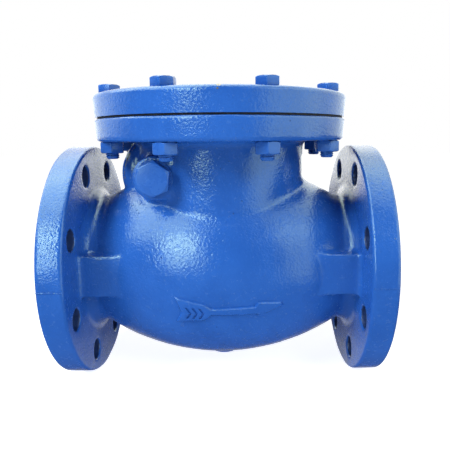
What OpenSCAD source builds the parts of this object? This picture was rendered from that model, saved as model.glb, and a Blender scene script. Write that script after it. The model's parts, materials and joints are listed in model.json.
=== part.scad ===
// Flanged swing check valve with a bolted cover, for a horizontal pipe line.
// The origin is the centre of the inlet raised face, +X runs with the flow and +Z is up.
// All lengths are in millimetres.

/* [Line] */
// Length over the two raised faces
face_to_face = 292; // [284:1:300]
// Bore of the inlet and the outlet
bore_d = 100; // [96:1:104]
// Thickness of the cast walls
wall = 10; // [8.5:0.5:11]

/* [End flanges] */
// Diameter of an end flange
flange_d = 220; // [214:1:228]
// Thickness of an end flange over its raised face
flange_t = 24; // [22:0.5:26]
// Diameter of the raised face
raised_d = 156; // [146:1:158]
// Height of the raised face
raised_h = 1.6; // [1:0.1:3]
// Number of bolt holes in an end flange
flange_holes = 8; // [4, 8, 12]
// Bolt circle of an end flange
flange_pcd = 180; // [178:1:186]
// Bolt hole of the inlet flange
flange_hole_d = 19; // [16:1:20]
// Chamfer on the edges of a flange rim
rim_chamfer = 1; // [0.5:0.25:2]

/* [Belly] */
// Largest diameter of the belly
belly_d = 186; // [182:1:192]
// Diameter of the waist between an end flange and the belly
waist_d = 123; // [121:1:128]
// Distance from the back of an end flange to the waist
waist_gap = 12.5; // [11:0.5:14]
// Fillet between an end flange and the waist
flange_fillet = 9; // [6:0.5:10]
// Height of the side rib between an end flange and the belly
rib_h = 36; // [30:1:42]
// Distance over the flat faces of two opposite side ribs
rib_w = 146; // [140:1:150]
// Diameter of the drain boss under the belly
drain_boss_d = 30; // [24:1:36]
// Height of the drain boss below the belly
drain_boss_h = 5; // [3:0.5:8]

/* [Bonnet] */
// Outer diameter of the bonnet neck
neck_d = 156; // [152:1:160]
// Height of the bonnet joint face above the line axis
bonnet_h = 134; // [130:1:140]
// Distance from the bonnet neck to the bolt circle of the cover
nut_room = 25.25; // [24:0.25:27]
// Distance from the bolt circle of the cover to the rim of the bonnet flange
bolt_edge = 13.25; // [12.5:0.25:15]
// Thickness of the bonnet flange
bonnet_flange_t = 19.5; // [17:0.5:21]
// Draft of a cast rim, taken off its radius
rim_draft = 1; // [0.5:0.25:1.5]
// Fillet between the bonnet neck and its flange
neck_fillet = 6; // [4:0.5:8]
// Rounding of the lower edge of the bonnet flange
bonnet_edge_r = 3; // [1.5:0.5:4]

/* [Cover] */
// Distance that the cover stands out past the bonnet flange
cover_lip = 0.5; // [0:0.25:1]
// Thickness of the cover
cover_t = 20; // [17:0.5:23]
// Rounding of the upper edge of the cover
cover_edge_r = 4; // [2:0.5:6]
// Thickness of the cover gasket
gasket_t = 1.6; // [1:0.2:3]
// Set-back of the gasket from the cover rim
gasket_inset = 2; // [1:0.5:3]
// Depth of the spigot that centres the cover in the neck
spigot_h = 4; // [3:0.5:6]
// Width of the spigot
spigot_w = 9; // [7:0.5:11]
// Depth of the hollow in the underside of the cover
cover_hollow = 6; // [4:0.5:8]
// Diameter of the stop lug under the cover
stop_d = 20; // [17:1:24]

/* [Cover bolts] */
// Number of cover bolts
cover_bolt_count = 8; // [6:2:8]
// Thread diameter of a cover bolt
bolt_d = 12; // [10:1:12]
// Clearance of a bolt in its hole, on diameter
bolt_hole_clear = 1.5; // [1:0.25:2]
// Width across flats of a bolt head
head_af = 18; // [17:0.5:19]
// Height of a bolt head
head_h = 7.5; // [6:0.5:9]
// Width across flats of a nut
nut_af = 19; // [18:0.5:20]
// Height of a nut
nut_h = 10; // [8:0.5:11]
// Length of bolt past the nut
bolt_tail = 5; // [3:0.5:7]

/* [Hinge] */
// Distance of the hinge axis upstream of the bonnet axis
hinge_back = 54; // [52:0.5:56]
// Height of the hinge axis above the line axis
hinge_z = 84; // [82:0.5:86]
// Opening angle of the disc
open_angle = 60; // [50:1:62]
// Diameter of the cast housing round the hinge
housing_d = 79; // [74:1:82]
// Rounding of the housing ends
housing_round = 14; // [10:1:16]
// Diameter of the hinge pin
pin_d = 14; // [12:1:16]
// Wall of a hinge bush
bush_wall = 3; // [2:0.5:4]
// Wall of a hinge lug round its bush
lug_wall = 7; // [6:0.5:8]
// Diameter of the plug boss
boss_d = 38; // [35:1:40]
// Distance from the line axis to the face of a plug boss
boss_reach = 68; // [66:0.5:70]
// Fillet at the foot of the plug boss
boss_fillet = 7; // [4:0.5:8]

/* [Hinge plugs] */
// Thread diameter of a plug
plug_thread_d = 24; // [22:1:26]
// Length of plug thread in the boss
plug_engage = 13; // [10:0.5:15]
// Width across flats of the plug head
plug_af = 27; // [26:0.5:29]
// Height of the plug head
plug_head_h = 12; // [9:0.5:13]
// Thickness of the plug sealing ring
plug_ring_t = 1.5; // [1:0.25:2]

/* [Seat] */
// Distance of the seat shoulder upstream of the bonnet axis
seat_back = 60; // [59:0.5:62]
// Wall of the cast seat tube
seat_tube_wall = 11; // [10.5:0.5:12]
// Radial thickness of the seat ring sleeve
seat_sleeve_t = 6; // [4:0.5:7]
// Length of the seat ring sleeve in the casting
seat_sleeve_l = 9; // [7:0.5:12]
// Thickness of the seat ring collar
seat_collar_t = 3; // [2:0.5:4]
// Radial width of the seat face
seat_face_w = 10; // [8:0.5:10.5]
// Depth of the pocket round the seat tube
seat_pocket = 24; // [18:1:26]
// Gap between the closed facing and the seat
seal_gap = 0.15; // [0.1:0.05:0.3]

/* [Disc] */
// Rim of the disc outside its facing ring
disc_margin = 2; // [1.5:0.25:2.5]
// Thickness of the disc at its rim
disc_rim_t = 8; // [6:0.5:9]
// Thickness of the disc at its hub
disc_hub_t = 19; // [18:0.5:22]
// Diameter of the disc hub
disc_hub_d = 30; // [28:1:34]
// Thickness of the facing ring
facing_t = 4; // [3:0.5:5]
// Distance that the facing stands proud of the disc
facing_proud = 1.5; // [1:0.25:2]
// Radial width of the facing ring
facing_w = 8; // [7:0.5:9]
// Diameter of the disc stud
stud_d = 16; // [14:1:18]
// Thickness of the disc washer
washer_t = 3; // [2:0.5:4]
// Diameter of the disc washer
washer_d = 30; // [28:1:34]
// Width across flats of the disc nut
disc_nut_af = 24; // [23:0.5:27]
// Height of the disc nut
disc_nut_h = 13; // [10:0.5:15]
// Diameter of the split pin
split_d = 4; // [3:0.5:4.5]
// Length of stud past the split pin
stud_tail = 3; // [2:0.5:5]

/* [Hinge arm] */
// Outer diameter of the arm hub on the hinge pin
hub_d = 30; // [27:1:33]
// Length of the arm hub
hub_w = 36; // [34:0.5:38]
// Thickness of the arm and its eye
arm_t = 13; // [11:0.5:15]
// Diameter of the arm eye
eye_d = 38; // [34:1:42]
// Width of the arm at its hub
arm_top_w = 30; // [26:1:33]
// Height of the stiffening rib on the arm
arm_rib_h = 5; // [3:0.5:6]
// Thickness of the stiffening rib on the arm
arm_rib_t = 8; // [6:0.5:10]

/* [Hidden] */
$fn = 96;

// Width by which the outlet flange holes are drilled over the inlet ones, inside a drill's tolerance
outlet_drill = 0.32;
// Radial clearance of a pressed ring or bush
press_gap = 0.02;
// Radial clearance of a plain cylinder that stands for a thread
thread_gap = 0.05;
// Radial clearance of the hinge pin in its bushes and in the arm
run_gap = 0.06;
// Side clearance of the arm hub between the hinge lugs
thrust_gap = 0.4;
// Clearance of the arm eye between the disc hub and the washer
swivel_gap = 0.3;
// Radial clearance of the cover spigot in the neck
spigot_gap = 0.5;
// Clearance of the stud end from the stop lug when the disc is open
stop_gap = 0.4;
// Radial clearance of the disc stud in the arm eye and the washer
stud_clear = 0.3;
// Radial clearance of the split pin in the stud
split_clear = 0.2;
// Clearance of the split pin above the disc nut
split_gap = 0.6;
// End clearance of the hinge pin between its plugs
pin_float = 0.5;
// Set-back of a hinge bush from the plug thread
bush_recess = 3;
// Width by which the spot face round a plug passes its boss
spot_margin = 1.5;
// Height of the arm's knee above the disc rim
knee_rise = 1;

// Overlap of a cutter past the face that it opens
over = 1;
// Share of its width across flats at which the corner chamfer of a hexagon starts
hex_flat_share = 0.95;
// Slope of the corner chamfer of a hexagon
hex_chamfer_angle = 30;
// Chamfer on the ends of a pin, bolt or stud
end_chamfer = 1;
// Turn of each bolt head and each nut on its own axis, where the last four are the ones in front
head_turns = [8, 51, 24, 40, 25, 16, 32, 37];
nut_turns = [59, 46, 22, 5, 18, 27, 38, 58];
// Turn of the hinge plugs from a corner straight up
plug_turn = 6;
// Angles on the arm hub at which the front and the back of the arm run off it
crown_angle = 37;
heel_angle = 65;
// Spread of each leg of the split pin
leg_angle = 40;

// Line and belly
bonnet_x = face_to_face / 2;
waist_x = flange_t + waist_gap;
belly_rise = (belly_d - waist_d) / 2;
belly_half = bonnet_x - waist_x;
belly_arc = (belly_half * belly_half + belly_rise * belly_rise) / (2 * belly_rise);
belly_arc_centre = belly_d / 2 - belly_arc;
belly_steps = 24;
rib_corner = norm([rib_w / 2, rib_h / 2]);
rib_end_x = bonnet_x - sqrt(belly_arc * belly_arc - pow(rib_corner - belly_arc_centre, 2)) + over;

// Bonnet and cover
cover_pcd = neck_d + 2 * nut_room;
bonnet_flange_d = cover_pcd + 2 * bolt_edge;
cover_d = bonnet_flange_d + 2 * cover_lip;
bonnet_under = bonnet_h - bonnet_flange_t;
cover_z = bonnet_h + gasket_t;
cover_top = cover_z + cover_t;
neck_bore_d = neck_d - 2 * wall;

// Hinge
hinge_x = bonnet_x - hinge_back;
lug_d = pin_d + 2 * (bush_wall + lug_wall);
lug_face = hub_w / 2 + thrust_gap;
plug_inner = boss_reach - plug_engage;
bush_end = plug_inner - bush_recess;
pin_half = plug_inner - pin_float;
housing_w = 2 * (lug_face + wall);

// Seat, facing and disc stations along the line
seat_x = bonnet_x - seat_back;
seat_face_x = seat_x + seat_collar_t;
seat_tube_d = bore_d + 2 * seat_tube_wall;
chamber_x = seat_x - seat_pocket;
facing_x = seat_face_x + seal_gap;
disc_x = facing_x + facing_proud;
facing_mid_d = bore_d + seat_face_w;
disc_d = facing_mid_d + facing_w + 2 * disc_margin;
eye_x = disc_x + disc_hub_t + swivel_gap;
washer_x = eye_x + arm_t + swivel_gap;
disc_nut_x = washer_x + washer_t;
split_x = disc_nut_x + disc_nut_h + split_gap + split_d / 2;
stud_end_x = split_x + split_d / 2 + stud_tail;
knee_z = disc_d / 2 + knee_rise;

// Point on the arm hub where the front of the arm runs off it
arm_crown = [hinge_x + hub_d / 2 * cos(crown_angle), hinge_z + hub_d / 2 * sin(crown_angle)];

// Place of the stud end when the disc is fully open
stop_x = hinge_x + (stud_end_x - hinge_x) * cos(open_angle) + hinge_z * sin(open_angle);
stop_z = hinge_z + (stud_end_x - hinge_x) * sin(open_angle) - hinge_z * cos(open_angle);

// Turns a profile of [radius, x] about the line axis.
module revolve_x() {
    rotate([0, 90, 0]) rotate_extrude() children();
}

// Turns a profile of [radius, y] about an axis along Y.
module revolve_y() {
    rotate([-90, 0, 0]) rotate_extrude() children();
}

// Puts a piece at the inlet end and its mirror image at the outlet end.
module both_ends() {
    children();
    translate([face_to_face, 0, 0]) mirror([1, 0, 0]) children();
}

// Puts a piece on the front of the valve and its mirror image on the rear.
module both_sides() {
    children();
    mirror([0, 1, 0]) children();
}

// Copies a piece round a bolt circle whose holes straddle the centre line, turning each copy on its own axis.
module on_circle(count, pcd, turns = [0]) {
    for (i = [0 : count - 1])
        rotate([0, 0, (i + 0.5) * 360 / count]) translate([pcd / 2, 0, 0])
            rotate([0, 0, turns[i % len(turns)]]) children();
}

// Concave fillet profile in the corner whose point is at the origin, between the +X and +Y directions.
module corner_fillet(r) {
    difference() {
        square(r);
        translate([r, r]) circle(r);
    }
}

// Hexagon along Z with its corners chamfered at the top and, if asked, at the bottom.
module hexagon(af, h, both = false) {
    corner_r = af / 2 / cos(30);
    rim_r = corner_r + over;
    flat_r = af / 2 * hex_flat_share;
    drop = (rim_r - flat_r) * tan(hex_chamfer_angle);
    foot = both ? [[flat_r, 0], [rim_r, drop]] : [[rim_r, 0]];
    intersection() {
        cylinder(r = corner_r, h = h, $fn = 6);
        rotate_extrude() polygon(concat([[0, 0]], foot, [[rim_r, h - drop], [flat_r, h], [0, h]]));
    }
}

// Round bar along Z with a chamfer on both ends.
module bar(d, h) {
    r = d / 2;
    rotate_extrude() polygon([
        [0, 0], [r - end_chamfer, 0], [r, end_chamfer], [r, h - end_chamfer], [r - end_chamfer, h], [0, h]]);
}

// Body casting, outside.
module end_flange_profile() {
    square([raised_d / 2, flange_t]);
    polygon([
        [0, raised_h], [flange_d / 2 - rim_chamfer, raised_h], [flange_d / 2, raised_h + rim_chamfer],
        [flange_d / 2, flange_t - rim_chamfer], [flange_d / 2 - rim_chamfer, flange_t], [0, flange_t]]);
    square([waist_d / 2, waist_x]);
    translate([waist_d / 2, flange_t]) corner_fillet(flange_fillet);
}

// Filled arc of the belly from one station along the line to another.
module belly_profile(arc, start, end) {
    step = (end - start) / belly_steps;
    curve = [for (i = [0 : belly_steps]) let (x = start + i * step)
        [belly_arc_centre + sqrt(arc * arc - (x - bonnet_x) * (x - bonnet_x)), x]];
    polygon(concat([[0, start]], curve, [[0, end]]));
}

module bonnet_profile() {
    top_r = bonnet_flange_d / 2;
    low_r = top_r - rim_draft;
    square([neck_d / 2, bonnet_under + over]);
    translate([neck_d / 2, bonnet_under]) mirror([0, 1]) corner_fillet(neck_fillet);
    polygon([
        [0, bonnet_under], [low_r - bonnet_edge_r, bonnet_under], [low_r, bonnet_under + bonnet_edge_r],
        [top_r, bonnet_h], [0, bonnet_h]]);
    translate([low_r - bonnet_edge_r, bonnet_under + bonnet_edge_r]) circle(bonnet_edge_r);
}

module housing_profile() {
    r = housing_d / 2;
    half = housing_w / 2;
    translate([0, -half]) square([r - housing_round, housing_w]);
    translate([0, -half + housing_round]) square([r, housing_w - 2 * housing_round]);
    for (side = [-1, 1])
        translate([r - housing_round, side * (half - housing_round)]) circle(housing_round);
}

module plug_boss_profile() {
    square([boss_d / 2, boss_reach]);
    translate([boss_d / 2, housing_w / 2]) corner_fillet(boss_fillet);
}

module side_rib() {
    translate([flange_t - over, -rib_w / 2, -rib_h / 2])
        cube([rib_end_x - flange_t + over, rib_w, rib_h]);
}

module casting_outside() {
    revolve_x() belly_profile(belly_arc, waist_x, face_to_face - waist_x);
    both_ends() revolve_x() end_flange_profile();
    both_ends() side_rib();
    translate([bonnet_x, 0, 0]) rotate_extrude() bonnet_profile();
    translate([hinge_x, 0, hinge_z]) {
        revolve_y() housing_profile();
        both_sides() revolve_y() plug_boss_profile();
    }
    translate([bonnet_x, 0, -belly_d / 2 - drain_boss_h])
        cylinder(d = drain_boss_d, h = drain_boss_h + (belly_d - bore_d) / 2);
}

// Body casting, hollows.
module chamber() {
    revolve_x() belly_profile(belly_arc - wall, chamber_x, face_to_face - waist_x);
    translate([bonnet_x, 0, 0]) cylinder(d = neck_bore_d, h = bonnet_h + over);
    translate([hinge_x, 0, hinge_z]) rotate([90, 0, 0])
        cylinder(d = housing_d - 2 * wall, h = 2 * lug_face, center = true);
}

module hinge_lugs() {
    translate([hinge_x, 0, hinge_z]) both_sides() rotate([-90, 0, 0]) translate([0, 0, lug_face])
        cylinder(d = lug_d, h = boss_reach - lug_face);
}

module seat_tube() {
    revolve_x() translate([0, chamber_x - over]) square([seat_tube_d / 2, seat_x - chamber_x + over]);
}

module line_bore() {
    revolve_x() translate([0, -over]) square([bore_d / 2, face_to_face + 2 * over]);
    revolve_x() translate([0, seat_x - seat_sleeve_l])
        square([bore_d / 2 + seat_sleeve_t, seat_sleeve_l + over]);
}

module flange_bolt_holes(hole_d) {
    rotate([0, 90, 0]) on_circle(flange_holes, flange_pcd) cylinder(d = hole_d, h = flange_t + over);
}

module hinge_bores() {
    translate([hinge_x, 0, hinge_z]) both_sides() rotate([-90, 0, 0]) {
        cylinder(d = pin_d + 2 * bush_wall, h = plug_inner);
        translate([0, 0, plug_inner]) cylinder(d = plug_thread_d, h = plug_engage + over);
        translate([0, 0, boss_reach]) cylinder(d = boss_d + 2 * spot_margin, h = neck_d / 2 - boss_reach);
    }
}

module body_casting() {
    color("royalblue") difference() {
        casting_outside();
        difference() {
            chamber();
            hinge_lugs();
            seat_tube();
        }
        line_bore();
        hinge_bores();
        flange_bolt_holes(flange_hole_d);
        translate([face_to_face, 0, 0]) mirror([1, 0, 0]) flange_bolt_holes(flange_hole_d + outlet_drill);
        translate([bonnet_x, 0, bonnet_under - neck_fillet]) on_circle(cover_bolt_count, cover_pcd)
            cylinder(d = bolt_d + bolt_hole_clear, h = bonnet_flange_t + neck_fillet + over);
    }
}

// Seat ring, pressed into the end of the seat tube.
module seat_ring() {
    inner = bore_d / 2;
    sleeve = inner + seat_sleeve_t - press_gap;
    collar = inner + seat_face_w;
    color("goldenrod") revolve_x() polygon([
        [inner, seat_x - seat_sleeve_l], [sleeve, seat_x - seat_sleeve_l], [sleeve, seat_x],
        [collar, seat_x], [collar, seat_face_x], [inner, seat_face_x]]);
}

// Cover, with its centring spigot and the lug that stops the opening disc.
module cover_profile() {
    r = cover_d / 2;
    spigot_r = neck_bore_d / 2 - spigot_gap;
    hollow_r = spigot_r - spigot_w;
    difference() {
        union() {
            polygon([
                [0, cover_z], [r - rim_draft, cover_z], [r, cover_top - cover_edge_r],
                [r - cover_edge_r, cover_top], [0, cover_top]]);
            translate([r - cover_edge_r, cover_top - cover_edge_r]) circle(cover_edge_r);
            translate([0, cover_z - spigot_h]) square([spigot_r, spigot_h + over]);
        }
        translate([0, cover_z - spigot_h - over]) square([hollow_r, spigot_h + cover_hollow + over]);
    }
}

module stop_lug() {
    low = stop_z - stop_d;
    difference() {
        translate([stop_x, 0, low]) cylinder(d = stop_d, h = cover_z + cover_hollow + over - low);
        translate([hinge_x, 0, hinge_z]) rotate([0, -open_angle, 0]) translate([-hinge_x, 0, -hinge_z])
            translate([stud_end_x + stop_gap - 2 * stop_d, -stop_d, -2 * stop_d])
                cube([2 * stop_d, 2 * stop_d, 4 * stop_d]);
    }
}

module cover() {
    color("royalblue") difference() {
        union() {
            translate([bonnet_x, 0, 0]) rotate_extrude() cover_profile();
            stop_lug();
        }
        translate([bonnet_x, 0, cover_z - over]) on_circle(cover_bolt_count, cover_pcd)
            cylinder(d = bolt_d + bolt_hole_clear, h = cover_t + 2 * over);
    }
}

module cover_gasket() {
    outer = cover_d / 2 - rim_draft - gasket_inset;
    color("dimgray") translate([bonnet_x, 0, bonnet_h]) difference() {
        cylinder(r = outer, h = gasket_t);
        translate([0, 0, -over]) cylinder(d = neck_bore_d, h = gasket_t + 2 * over);
        translate([0, 0, -over]) on_circle(cover_bolt_count, cover_pcd)
            cylinder(d = bolt_d + bolt_hole_clear, h = gasket_t + 2 * over);
    }
}

// Hexagon bolts, head up, each turned a little further than the last.
module cover_bolts() {
    shank = cover_top - bonnet_under + nut_h + bolt_tail;
    color("royalblue") translate([bonnet_x, 0, cover_top])
        on_circle(cover_bolt_count, cover_pcd, head_turns) {
            hexagon(head_af, head_h);
            translate([0, 0, -shank]) bar(bolt_d, shank + over);
        }
}

module cover_nuts() {
    color("royalblue") translate([bonnet_x, 0, bonnet_under - nut_h])
        on_circle(cover_bolt_count, cover_pcd, nut_turns) difference() {
            hexagon(nut_af, nut_h, both = true);
            translate([0, 0, -over]) cylinder(d = bolt_d + 2 * thread_gap, h = nut_h + 2 * over);
        }
}

// Hinge pin and what holds it in the body.
module hinge_pin() {
    color("silver") translate([hinge_x, -pin_half, hinge_z]) rotate([-90, 0, 0]) bar(pin_d, 2 * pin_half);
}

module hinge_bush() {
    color("goldenrod") translate([hinge_x, 0, hinge_z]) rotate([-90, 0, 0]) translate([0, 0, lug_face])
        difference() {
            cylinder(d = pin_d + 2 * (bush_wall - press_gap), h = bush_end - lug_face);
            translate([0, 0, -over]) cylinder(d = pin_d + 2 * run_gap, h = bush_end - lug_face + 2 * over);
        }
}

module hinge_plug() {
    color("royalblue") translate([hinge_x, 0, hinge_z]) rotate([-90, 0, 0]) {
        translate([0, 0, plug_inner]) bar(plug_thread_d - 2 * thread_gap, plug_engage + plug_ring_t + over);
        translate([0, 0, boss_reach + plug_ring_t]) rotate([0, 0, 30 + plug_turn]) hexagon(plug_af, plug_head_h);
    }
}

module plug_ring() {
    color("royalblue") translate([hinge_x, 0, hinge_z]) rotate([-90, 0, 0]) translate([0, 0, boss_reach])
        difference() {
            cylinder(d = plug_af / cos(30), h = plug_ring_t);
            translate([0, 0, -over]) cylinder(d = plug_thread_d + 2 * thread_gap, h = plug_ring_t + 2 * over);
        }
}

// Hinge arm: hub on the pin, a cranked bar with a rib, and the eye that carries the disc.
module arm_side_profile() {
    heel = [hinge_x - hub_d / 2 * cos(heel_angle), hinge_z - hub_d / 2 * sin(heel_angle)];
    polygon([
        [eye_x, -eye_d / 2], [eye_x + arm_t, -eye_d / 2], [eye_x + arm_t, knee_z], arm_crown,
        [hinge_x, hinge_z], heel, [eye_x, knee_z + 2 * knee_rise]]);
}

module arm_rib_profile() {
    back_x = eye_x + arm_t;
    foot_z = (eye_d - arm_rib_h) / 2;
    polygon([
        [back_x - over, foot_z], [back_x, foot_z], [back_x + arm_rib_h, foot_z + arm_rib_h],
        [back_x + arm_rib_h, knee_z], arm_crown, [back_x - over, knee_z]]);
}

module arm_front_outline() {
    top_z = hinge_z + hub_d;
    circle(d = eye_d);
    polygon([[-eye_d / 2, 0], [eye_d / 2, 0], [arm_top_w / 2, top_z], [-arm_top_w / 2, top_z]]);
}

module along_y(width) {
    translate([0, width / 2, 0]) rotate([90, 0, 0]) linear_extrude(height = width) children();
}

module hinge_arm() {
    color("gray") difference() {
        union() {
            intersection() {
                along_y(eye_d + 2 * over) arm_side_profile();
                translate([eye_x + arm_t + over, 0, 0]) rotate([90, 0, -90])
                    linear_extrude(height = eye_x + arm_t - hinge_x + hub_d) arm_front_outline();
            }
            along_y(arm_rib_t) arm_rib_profile();
            translate([hinge_x, 0, hinge_z]) rotate([90, 0, 0]) cylinder(d = hub_d, h = hub_w, center = true);
        }
        translate([hinge_x, 0, hinge_z]) rotate([90, 0, 0])
            cylinder(d = pin_d + 2 * run_gap, h = hub_w + 2 * over, center = true);
        translate([eye_x - over, 0, 0]) rotate([0, 90, 0])
            cylinder(d = stud_d + 2 * stud_clear, h = arm_t + 2 * over);
    }
}

// Disc with its stud, the facing ring let into it, and the nut that holds it on the arm.
module disc() {
    groove_in = (facing_mid_d - facing_w) / 2 - press_gap;
    groove_out = (facing_mid_d + facing_w) / 2 + press_gap;
    hub_r = disc_hub_d / 2;
    stud_r = stud_d / 2;
    face = disc_x + disc_hub_t;
    crown = (disc_x + disc_rim_t + face) / 2;
    color("gray") difference() {
        revolve_x() polygon([
            [0, disc_x], [groove_in, disc_x], [groove_in, facing_x + facing_t],
            [groove_out, facing_x + facing_t], [groove_out, disc_x], [disc_d / 2, disc_x],
            [disc_d / 2, disc_x + disc_rim_t], [hub_r, crown], [hub_r, face], [stud_r, face],
            [stud_r, stud_end_x - end_chamfer], [stud_r - end_chamfer, stud_end_x], [0, stud_end_x]]);
        translate([split_x, 0, 0])
            cylinder(d = split_d + 2 * split_clear, h = stud_d + 2 * over, center = true);
    }
}

module disc_facing() {
    color("goldenrod") revolve_x() translate([(facing_mid_d - facing_w) / 2, facing_x])
        square([facing_w, facing_t]);
}

module disc_washer() {
    color("silver") revolve_x() translate([stud_d / 2 + stud_clear, washer_x])
        square([(washer_d - stud_d) / 2 - stud_clear, washer_t]);
}

module disc_nut() {
    color("silver") translate([disc_nut_x, 0, 0]) rotate([0, 90, 0]) difference() {
        hexagon(disc_nut_af, disc_nut_h);
        translate([0, 0, -over]) cylinder(d = stud_d + 2 * thread_gap, h = disc_nut_h + 2 * over);
    }
}

// Split pin along Z, its eye hanging down and its two legs spread above the stud.
module disc_split_pin() {
    leg_d = split_d / 2;
    reach = stud_d / 2 + leg_d;
    eye_r = split_d * 0.7;
    color("silver") translate([split_x, 0, 0]) {
        translate([0, 0, -reach]) cylinder(d = split_d, h = 2 * reach);
        translate([0, 0, -reach - eye_r]) rotate([0, 90, 0]) rotate_extrude()
            translate([eye_r, 0]) circle(d = leg_d);
        for (side = [-1, 1])
            translate([0, 0, reach - leg_d]) rotate([side * leg_angle, 0, 0])
                cylinder(d = leg_d, h = 3 * leg_d);
    }
}

body_casting();
seat_ring();
cover();
cover_gasket();
cover_bolts();
cover_nuts();
hinge_pin();
mirror([0, 1, 0]) hinge_bush();  // hinge_bush_front
hinge_bush();  // hinge_bush_rear
mirror([0, 1, 0]) hinge_plug();  // hinge_plug_front
hinge_plug();  // hinge_plug_rear
mirror([0, 1, 0]) plug_ring();  // plug_ring_front
plug_ring();  // plug_ring_rear
hinge_arm();
disc();
disc_facing();
disc_washer();
disc_nut();
disc_split_pin();
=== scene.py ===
"""Dresses a flanged swing check valve: its enamelled casting, bolted cover and the works inside."""

import json
import math

import bmesh
import bpy
import numpy as np
import openvdb
from mathutils import Matrix, Vector


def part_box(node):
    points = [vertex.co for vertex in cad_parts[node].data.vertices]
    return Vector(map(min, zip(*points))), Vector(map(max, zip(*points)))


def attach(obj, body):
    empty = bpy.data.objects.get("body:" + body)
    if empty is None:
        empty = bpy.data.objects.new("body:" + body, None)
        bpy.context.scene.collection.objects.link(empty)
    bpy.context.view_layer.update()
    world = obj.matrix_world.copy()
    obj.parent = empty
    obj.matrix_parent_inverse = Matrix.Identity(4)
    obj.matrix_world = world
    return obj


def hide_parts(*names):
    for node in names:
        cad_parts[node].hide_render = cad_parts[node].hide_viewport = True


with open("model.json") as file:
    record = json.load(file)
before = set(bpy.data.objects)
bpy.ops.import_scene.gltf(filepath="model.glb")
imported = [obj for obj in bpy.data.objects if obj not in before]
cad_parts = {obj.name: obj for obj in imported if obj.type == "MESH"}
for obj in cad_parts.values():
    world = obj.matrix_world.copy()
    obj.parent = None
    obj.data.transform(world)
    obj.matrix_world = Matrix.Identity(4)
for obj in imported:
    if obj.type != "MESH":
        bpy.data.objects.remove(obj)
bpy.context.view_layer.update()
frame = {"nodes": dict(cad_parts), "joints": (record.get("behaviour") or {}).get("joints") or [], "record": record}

MM = 0.001
MERGE_GAP = 0.001 * MM
ORIGIN = (0.0, 0.0, 0.0)

# Sizes of the valve in millimetres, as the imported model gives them
mounts = {mount["name"]: mount for mount in frame["record"]["mounts"]}
drilling = mounts["inlet_bolts"]["dims"]
hinge = next(joint for joint in frame["joints"] if joint["name"] == "flap_swing")
body_low, body_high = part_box("body_casting")
LENGTH = mounts["outlet_port"]["pos_m"][0] / MM
BONNET_X = LENGTH / 2.0
BORE_R = mounts["inlet_port"]["dims"]["r_mm"]
RAISED_FACE = mounts["inlet_bolts"]["pos_m"][0] / MM
FLANGE_R = -body_low.z / MM
FLANGE_HOLES = drilling["count"]
HOLE_CIRCLE_R = drilling["pcd_mm"] / 2.0
HOLE_R = drilling["hole_r_mm"]
HINGE_X = hinge["pos_m"][0] / MM
HINGE_Z = hinge["pos_m"][2] / MM
BONNET_FACE = body_high.z / MM
NUT_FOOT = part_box("cover_nuts")[0].z / MM
BOLT_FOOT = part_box("cover_bolts")[0].z / MM
FLOOR_Z = -FLANGE_R

# Further sizes of the castings and the cover bolts, in millimetres
RAISED_R = 78.0
FLANGE_BACK = 24.0
WAIST_R = 61.5
WAIST_X = 36.5
BELLY_R = 93.0
BELLY_RISE = BELLY_R - WAIST_R
BELLY_ARC = ((BONNET_X - WAIST_X) ** 2 + BELLY_RISE**2) / (2.0 * BELLY_RISE)
NECK_R = 78.0
HOUSING_R = 39.5
HOUSING_HALF = 28.4
NUT_ROOM = 25.25
BOLT_CIRCLE_R = NECK_R + NUT_ROOM
BOLT_COUNT = 8
BOLT_R = 6.0
THREAD_PITCH = 1.75
THREAD_DEPTH = 0.75


class Reading:
    """One output of a shader node. Sums on readings and numbers add Math nodes."""

    def __init__(self, tree, socket):
        self.tree = tree
        self.socket = socket

    def math(self, operation, first, second=0.0):
        return self.tree.node("ShaderNodeMath", {"operation": operation}, {0: first, 1: second})

    def __add__(self, other):
        return self.math("ADD", self, other)

    __radd__ = __add__

    def __sub__(self, other):
        return self.math("SUBTRACT", self, other)

    def __rsub__(self, other):
        return self.math("SUBTRACT", other, self)

    def __mul__(self, other):
        return self.math("MULTIPLY", self, other)

    __rmul__ = __mul__

    def __truediv__(self, other):
        return self.math("DIVIDE", self, other)

    def __pow__(self, other):
        return self.math("POWER", self, other)

    def most(self, other):
        """The larger of two readings."""
        return self.math("MAXIMUM", self, other)

    def step(self, start, end):
        """0 below start and 1 above end, with a soft change between them."""
        return self.tree.node(
            "ShaderNodeMapRange",
            {"interpolation_type": "SMOOTHSTEP", "clamp": True},
            {"Value": self, "From Min": start, "From Max": end},
        )


class Tree:
    """A node tree, with one method that adds any node."""

    def __init__(self, node_tree):
        self.nodes = node_tree.nodes
        self.links = node_tree.links
        self.nodes.clear()

    def join(self, socket, value):
        if isinstance(value, Reading):
            self.links.new(value.socket, socket)
        elif isinstance(value, bpy.types.NodeSocket):
            self.links.new(value, socket)
        else:
            socket.default_value = value

    def node(self, kind, settings=None, inputs=None, output=0):
        made = self.nodes.new(kind)
        for name, value in (settings or {}).items():
            setattr(made, name, value)
        for name, value in (inputs or {}).items():
            self.join(made.inputs[name], value)
        return Reading(self, made.outputs[output])

    def mix(self, share, first, second):
        """Colour that goes from first to second as share goes from 0 to 1."""
        # A Mix node has sockets for every data type. Inputs 6 and 7 and output 2 hold its colours.
        return self.node(
            "ShaderNodeMix",
            {"data_type": "RGBA", "blend_type": "MIX"},
            {0: share, 6: self.colour(first), 7: self.colour(second)},
            2,
        )

    def colour(self, value):
        return value if isinstance(value, Reading) else (*value, 1.0)


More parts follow.
